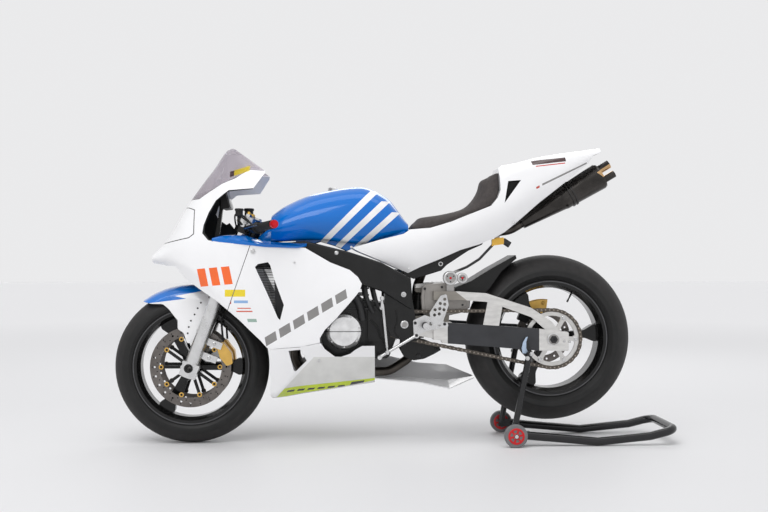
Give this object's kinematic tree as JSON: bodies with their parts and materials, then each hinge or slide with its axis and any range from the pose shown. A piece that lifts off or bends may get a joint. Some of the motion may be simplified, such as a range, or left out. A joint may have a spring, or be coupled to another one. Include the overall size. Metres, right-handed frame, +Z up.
{
  "type": "sport motorcycle on a paddock stand",
  "caption": "Full-fairing sport motorcycle in track trim, held upright by a rear paddock stand, with turning wheels and steering",
  "frame": {"origin": "on the floor below the middle of the bounding box, on the centre plane", "axes": "+X forward, +Y to the rider's left, +Z up"},
  "size_m": [2.171, 0.7424, 1.147],
  "materials": {
    "black_metal": "satin black",
    "black_plastic": "matt black",
    "blue_gloss": "gloss blue",
    "chain_steel": "oiled",
    "chrome_tube": "polished",
    "dark_metal": "dark grey",
    "disc_steel": "ground steel",
    "exhaust_steel": "heat-tinted steel",
    "gold_metal": "gold anodised",
    "grip_rubber": "matt",
    "red_anodised": "red anodised",
    "rim_black": "gloss black",
    "screen_tint": "grey tint",
    "seat_foam": "closed-cell foam",
    "silver_metal": "satin silver",
    "stand_black": "gloss black",
    "stand_wheel": "grey rubber on a red hub",
    "titanium_dark": "dark titanium",
    "tyre": "racing slick rubber, matt",
    "white_gloss": "gloss white"
  },
  "bodies": {
    "chassis": {"frame": "black_metal", "pivot_shaft": "disc_steel", "swingarm": "silver_metal", "rear_axle": "disc_steel", "shock_absorber": "gold_metal", "shock_reservoirs": "silver_metal", "engine_block": "black_metal", "generator_cover": "silver_metal", "clutch_cover": "black_metal", "sprocket_cover": "black_metal", "front_sprocket": "chain_steel", "radiator": "dark_metal", "exhaust_pipes": "exhaust_steel", "silencer": "titanium_dark", "windscreen": "screen_tint", "upper_fairing": "white_gloss", "side_panel_left": "white_gloss", "side_panel_right": "white_gloss", "belly_pan": "white_gloss", "fuel_tank": "blue_gloss", "cockpit_covers": "blue_gloss", "tail_unit": "white_gloss", "seat_pad": "seat_foam", "rear_hugger": "black_plastic", "subframe": "black_metal", "instrument_panel": "black_plastic", "rearset_left": "silver_metal", "rearset_right": "silver_metal", "drive_chain": "chain_steel", "rear_caliper": "gold_metal", "paddock_stand": "stand_black"},
    "steering": {"fork_sliders": "silver_metal", "fork_stanchions": "chrome_tube", "fork_clamps": "silver_metal", "handlebars": "black_metal", "grips": "grip_rubber", "bar_ends": "red_anodised", "hand_controls": "black_metal", "front_axle": "disc_steel", "front_calipers": "gold_metal", "front_fender": "white_gloss", "brake_hoses": "black_plastic"},
    "front_wheel": {"front_tyre": "tyre", "front_rim": "rim_black", "front_discs": "disc_steel"},
    "rear_wheel": {"rear_tyre": "tyre", "rear_rim": "rim_black", "rear_disc": "disc_steel", "rear_sprocket": "silver_metal"},
    "stand_wheel_l": {"stand_wheel_left": "stand_wheel"},
    "stand_wheel_r": {"stand_wheel_right": "stand_wheel"}
  },
  "joints": [
    {"name": "steering", "type": "hinge", "parent": "chassis", "child": "steering", "pos_m": [0.57938, 0, 0.75393], "axis": [-0.3518, 0, 0.9361], "range_deg": [-26, 26]},
    {"name": "front_wheel_spin", "type": "hinge", "parent": "steering", "child": "front_wheel", "pos_m": [0.7875, 0, 0.298], "axis": [0, 1, 0], "continuous": true},
    {"name": "rear_wheel_spin", "type": "hinge", "parent": "chassis", "child": "rear_wheel", "pos_m": [-0.6025, 0, 0.405], "axis": [0, 1, 0], "continuous": true},
    {"name": "stand_wheel_left_spin", "type": "hinge", "parent": "chassis", "child": "stand_wheel_l", "pos_m": [-0.4495, 0.191, 0.044], "axis": [0, 1, 0], "continuous": true},
    {"name": "stand_wheel_right_spin", "type": "hinge", "parent": "chassis", "child": "stand_wheel_r", "pos_m": [-0.4495, -0.191, 0.044], "axis": [0, 1, 0], "continuous": true}
  ]
}
